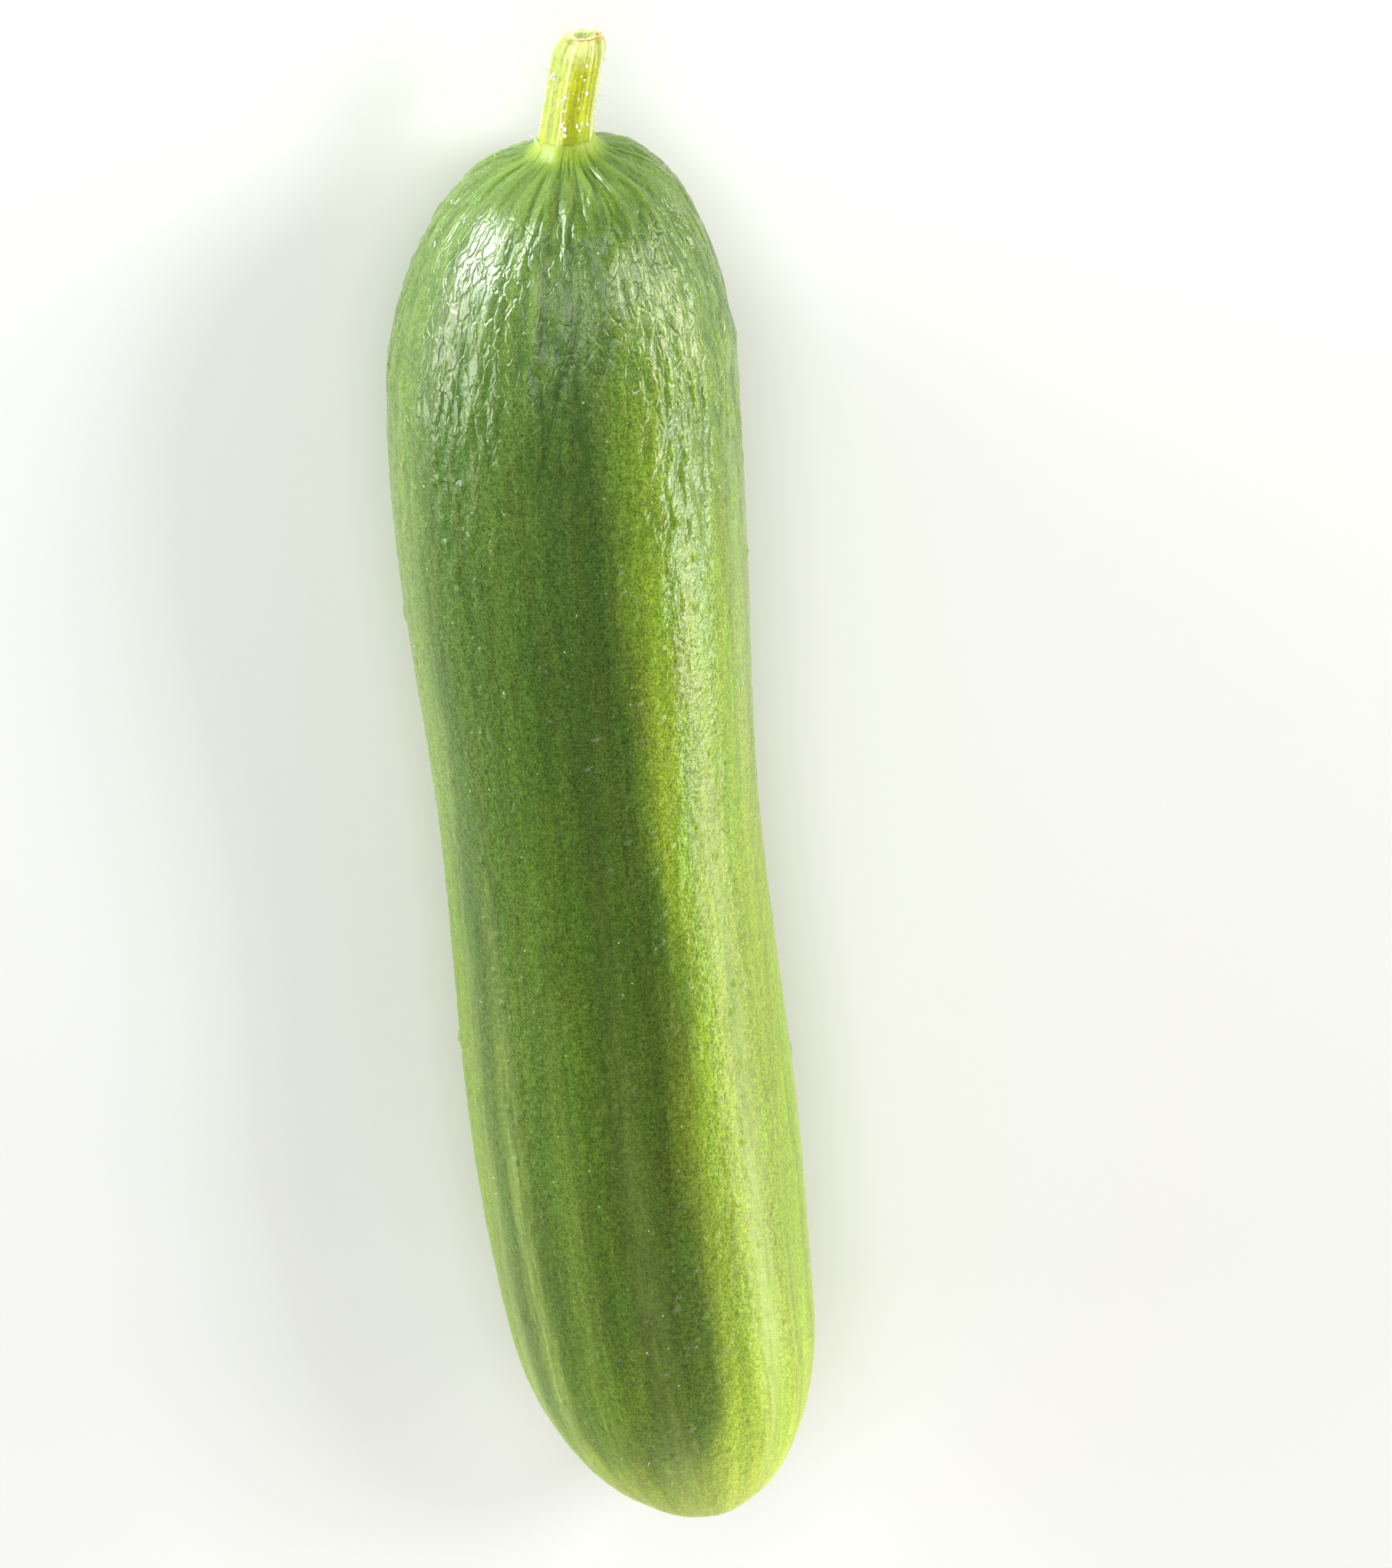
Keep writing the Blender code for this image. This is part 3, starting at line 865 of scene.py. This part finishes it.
def makeStalkMaterial():
    material, tree, shader = newMaterial("stalkYellowGreen", stalkLook["shader"])
    place = stored(tree, "stalkPlace")
    spot = addNode(tree, "ShaderNodeTexCoord").outputs["Object"]
    ridge, dried, inside = split(tree, stored(tree, "stalkMarks"))
    parts = split(tree, place)
    colour = ramped(tree, parts["Z"], stalkLook["sides"])
    fibre = streaky(tree, place, *stalkLook["fibreNoise"])
    shade, grainHeight = grain(tree, spot, stalkLook["grain"])

    # The face turned up is painted brighter as light and the flanks duller as shade
    toPaintedLight = plus(tree, towards(tree, parts, stalkLook["paintedLightTurn"]),
                  ranged(tree, fibre, *stalkLook["paintedLightWaver"]))
    flank = faded(tree, ranged(tree, toPaintedLight, *stalkLook["paintedLightEdge"]), parts["Z"], stalkLook["flankShadeStart"])
    colour = mixed(tree, flank, colour, stalkLook["flank"])
    thread = times(tree, ranged(tree, ridge, *stalkLook["ridgeEdge"]), stalkLook["ridgeShare"])
    colour = mixed(tree, faded(tree, thread, fibre, stalkLook["ridgeBreaks"]), colour, stalkLook["ridge"])
    dim = faded(tree, ranged(tree, fibre, *stalkLook["fibreDim"]), shade, stalkLook["grainDim"])
    colour = dimmed(tree, colour, dim, dim)

    patch = noisy(tree, spot, *stalkLook["patch"])
    # The last zone, the dark middle of the cut, is painted shade in its pit
    for low, high, zone in stalkLook["cutZones"]:
        colour = mixed(tree, ranged(tree, inside, low, high), colour, zone)
    line = faded(tree, faded(tree, 1.0, inside, *stalkLook["lineEdges"]), patch, stalkLook["lineBreaks"])
    colour = mixed(tree, line, colour, stalkLook["line"])
    dried = faded(tree, faded(tree, dried, inside, stalkLook["driedEnd"]), patch, stalkLook["driedBreaks"])
    colour = mixed(tree, dried, colour, stalkLook["dried"])
    connect(tree, colour, shader.inputs["Base Color"])
    normal = bumped(tree, fibre, *stalkLook["fibreBump"])
    connect(tree, bumped(tree, grainHeight, *stalkLook["grainBump"], normal), shader.inputs["Normal"])
    return material


# Bristles: on the stalk with pale feet, a few stout or long ones, worn ones on the skin, and fine fuzz
bristles = {
    "seed": 11, "sunk": 0.3, "tipShare": 0.08,  # how deep a root is sunk and how thin a tip is, in radii
    "stalkCount": 46, "stalkLength": (0.00025, 0.00060), "stalkRadius": 0.00006, "stalkLean": 0.5,
    "fromTip": (1.3 * mm, 8.3 * mm),  # the stretch of the stalk that has them
    "footCount": 90, "footRadius": (0.00005, 0.00015), "footStretch": (0.9, 1.9), "footHeight": 0.00004,
    "footUneven": 0.18,
    # Single ones: height on the stalk, turn in degrees, length, radius, lean towards the cut
    "single": [
        (0.0012, 8, 0.00150, 0.00011, 1.2), (0.0010, 24, 0.00110, 0.00010, 1.5),
        (0.0043, 178, 0.00260, 0.000035, -0.15), (0.0049, 172, 0.00080, 0.00005, 0.2),
        (0.0079, 180, 0.00075, 0.00005, 0.3), (0.0092, 183, 0.00050, 0.00006, 0.1),
        (0.0034, 186, 0.00060, 0.00004, 0.0), (0.0058, 6, 0.00040, 0.00004, 0.2),
    ],
    "skinCount": 120, "skinLength": (0.00012, 0.00040), "skinRadius": 0.00004, "skinLean": 0.9,
    "skinAbove": 2 * mm,
    "fuzzCount": 22000, "fuzzLength": 0.00013, "fuzzRadius": 0.000017, "fuzzLean": 0.00006,
    "fuzzAbove": 1 * mm,
    # The pale colour is the bristles' own; on the feet its whiteness is partly painted glint
    "colour": (0.86, 0.88, 0.76), "fuzzColour": (0.46, 0.58, 0.20),
    "grain": 2500, "grainEdge": (0.35, 0.65), "darkShare": 0.8, "shader": {"Roughness": 0.35},
}


def uneven(draw, size):
    return Vector([draw.uniform(-size, size) for _ in range(3)])


def standing(direction):
    # Turns what points up to another direction
    return Vector((0, 0, 1)).rotation_difference(direction).to_matrix().to_4x4()


def addBristle(bm, root, direction, length, radius, sides):
    middle = root + direction * (length / 2 - radius * bristles["sunk"])
    bmesh.ops.create_cone(
        bm, cap_ends=False, segments=sides, radius1=radius, radius2=radius * bristles["tipShare"],
        depth=length, matrix=Matrix.Translation(middle) @ standing(direction)
    )


# The feet take the pale bristle colour, whose whiteness there is partly painted glint
def addFoot(bm, root, normal, radius, draw):
    # A flattened, uneven blister, mostly longer along the stalk than across it
    stretch = draw.uniform(*bristles["footStretch"])
    squash = Matrix.Diagonal((stretch, 1, bristles["footHeight"] / radius, 1))
    made = bmesh.ops.create_icosphere(
        bm, subdivisions=2, radius=radius, matrix=Matrix.Translation(root) @ standing(normal) @ squash
    )
    for vert in made["verts"]:
        vert.co += uneven(draw, bristles["footUneven"]) * radius


def makeStalkBristles(material, stalkSpots, move):
    draw = Random(bristles["seed"])
    bm = bmesh.new()
    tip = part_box("stem")[1].x
    nearest, furthest = bristles["fromTip"]
    side = [spot for spot in stalkSpots if tip - furthest < spot[0].x < tip - nearest]
    for root, normal in draw.sample(side, bristles["footCount"]):
        addFoot(bm, root, normal, draw.uniform(*bristles["footRadius"]), draw)
    for root, normal in draw.sample(side, bristles["stalkCount"]):
        length = draw.uniform(*bristles["stalkLength"])
        direction = (normal + uneven(draw, bristles["stalkLean"])).normalized()
        addBristle(bm, root, direction, length, bristles["stalkRadius"], 6)
    for height, degrees, length, radius, lean in bristles["single"]:
        outward = Vector((0, cos(radians(degrees)), sin(radians(degrees))))
        root = Vector((height, 0, 0)) + outward * stalkRadius(height) + stalkOffset(height) + move
        addBristle(bm, root, (outward + Vector((lean, 0, 0))).normalized(), length, radius, 8)
    finishPiece("stalkBristles", bm, material)


def makeSkinBristles(material, skinSpots):
    draw = Random(bristles["seed"] + 1)
    bm = bmesh.new()
    for root, normal in draw.sample(skinSpots, bristles["skinCount"]):
        length = draw.uniform(*bristles["skinLength"])
        direction = (normal + uneven(draw, bristles["skinLean"])).normalized()
        addBristle(bm, root, direction, length, bristles["skinRadius"], 5)
    finishPiece("skinBristles", bm, material)


def makeFuzz(material, skinPiece):
    # Every hair is raised from one small face of the skin, which is cut free, shrunk and poked
    draw = Random(bristles["seed"] + 2)
    bm = bmesh.new()
    bm.from_mesh(skinPiece.data)
    bm.faces.ensure_lookup_table()
    able = [
        face for face in bm.faces
        if len(face.verts) == 4 and face.calc_center_median().z > bristles["fuzzAbove"]
    ]
    # Large faces are drawn more often than small ones, so that the hairs stand equally dense
    share = bristles["fuzzCount"] / sum(face.calc_area() for face in able)
    chosen = {face for face in able if draw.random() < share * face.calc_area()}
    bmesh.ops.delete(bm, geom=[face for face in bm.faces if face not in chosen], context="FACES")
    bmesh.ops.split_edges(bm, edges=bm.edges[:])
    for face in bm.faces:
        middle = face.calc_center_median()
        for vert in face.verts:
            vert.co = middle + (vert.co - middle).normalized() * bristles["fuzzRadius"]
    bm.normal_update()
    tips = bmesh.ops.poke(bm, faces=bm.faces[:], offset=bristles["fuzzLength"])["verts"]
    for tip in tips:
        tip.co += uneven(draw, 1) * bristles["fuzzLean"]
    finishPiece("skinFuzz", bm, material)


def makeBristleMaterial(name, high):
    material, tree, shader = newMaterial(name, bristles["shader"])
    spot = addNode(tree, "ShaderNodeTexCoord").outputs["Object"]
    shade = grain(tree, spot, bristles["grain"])[0]
    low = [part * bristles["darkShare"] for part in high]
    colour = mixed(tree, ranged(tree, shade, *bristles["grainEdge"]), low, high)
    connect(tree, colour, shader.inputs["Base Color"])
    return material


# Floor, lights and camera
studio = {
    "floorHalf": 2.0, "floorDrop": 0.02 * mm,  # the drop keeps the floor clear of the flat spot
    "floor": {"Base Color": (0.82, 0.82, 0.81, 1.0), "Roughness": 0.7, "Specular IOR Level": 0.2},
    "world": (0.28, 0.28, 0.28, 1.0),
    # Turn round the fruit and rise above the floor in degrees, distance, width, height, power, colour
    "lights": {
        "rightSoft": (-86, 7, 0.90, 0.62, 0.18, 7.3, (1.0, 0.97, 0.81)),
        "glintSoft": (-121, 4, 0.90, 0.20, 0.10, 2.0, (1.0, 1.0, 0.96)),
        "tailSoft": (-170, 14, 0.90, 0.90, 0.42, 3.0, (1.0, 0.98, 0.90)),
        "leftLow": (88, 6, 0.90, 0.50, 0.12, 3.8, (1.0, 1.0, 0.94)),
        "rightHigh": (-63, 37, 0.80, 0.26, 0.22, 2.5, (1.0, 1.0, 1.0)),
        "shoulderSoft": (54, 3.6, 0.60, 0.34, 0.08, 6.0, (0.96, 1.0, 1.0)),
        "topSoft": (10, 62, 0.95, 0.60, 0.60, 4.4, (1.0, 1.0, 1.0)),
    },
}

shot = {
    "target": (-0.00536, -0.00266, 0.01403), "lean": radians(30), "roll": radians(5.62),
    "distance": 0.650, "aside": 0.00508, "above": 0.00660, "lens": 167.94, "sensor": 36.0,
    "clipStart": 0.01,
}


def makeFloor():
    bm = bmesh.new()
    bmesh.ops.create_grid(bm, x_segments=1, y_segments=1, size=studio["floorHalf"])
    bmesh.ops.translate(bm, verts=bm.verts, vec=(0, 0, -studio["floorDrop"]))
    floor = newObject("paleFloor", bm, newMaterial("paleFloorPaper", studio["floor"])[0])


def makeLights():
    for name, (turn, rise, distance, width, height, power, colour) in studio["lights"].items():
        light = bpy.data.lights.new(name, "AREA")
        light.shape = "RECTANGLE"
        light.size, light.size_y, light.energy, light.color = width, height, power, colour
        lamp = bpy.data.objects.new(name, light)
        turn, rise = radians(turn), radians(rise)
        away = Vector((cos(turn) * cos(rise), sin(turn) * cos(rise), sin(rise)))
        lamp.location = Vector((0, 0, fruit["radius"])) + away * distance
        lamp.rotation_euler = away.to_track_quat("Z", "Y").to_euler()
        bpy.context.scene.collection.objects.link(lamp)
    world = bpy.data.worlds.new("paleRoom")
    world.use_nodes = True
    world.node_tree.nodes["Background"].inputs["Color"].default_value = studio["world"]
    bpy.context.scene.world = world
    bpy.context.scene.view_settings.view_transform = "Standard"


def makeCamera():
    # The camera looks down on the fruit from over the stem's side, turned so that the stem points up
    back = Vector((sin(shot["lean"]), 0, cos(shot["lean"])))
    right, up = Vector((0, -1, 0)), Vector((cos(shot["lean"]), 0, -sin(shot["lean"])))
    across = right * cos(shot["roll"]) - up * sin(shot["roll"])
    upward = right * sin(shot["roll"]) + up * cos(shot["roll"])
    place = Vector(shot["target"]) + back * shot["distance"]
    place += across * shot["aside"] + upward * shot["above"]
    camera = bpy.data.objects.new("camera", bpy.data.cameras.new("camera"))
    camera.matrix_world = Matrix((
        (across.x, upward.x, back.x, place.x), (across.y, upward.y, back.y, place.y),
        (across.z, upward.z, back.z, place.z), (0, 0, 0, 1),
    ))
    camera.data.lens, camera.data.sensor_width = shot["lens"], shot["sensor"]
    camera.data.clip_start = shot["clipStart"]
    bpy.context.scene.collection.objects.link(camera)
    bpy.context.scene.camera = camera


makeCamera()
makeLights()
makeFloor()
print("studio ready")
skinPiece, skinSpots, move = makeFruit(makeSkinMaterial())
stalkSpots = makeStalk(makeStalkMaterial(), move)
bristleMaterial = makeBristleMaterial("bristlePale", bristles["colour"])
makeStalkBristles(bristleMaterial, stalkSpots, move)
makeSkinBristles(bristleMaterial, skinSpots)
makeFuzz(makeBristleMaterial("fuzzGreen", bristles["fuzzColour"]), skinPiece)
print("pieces ready")
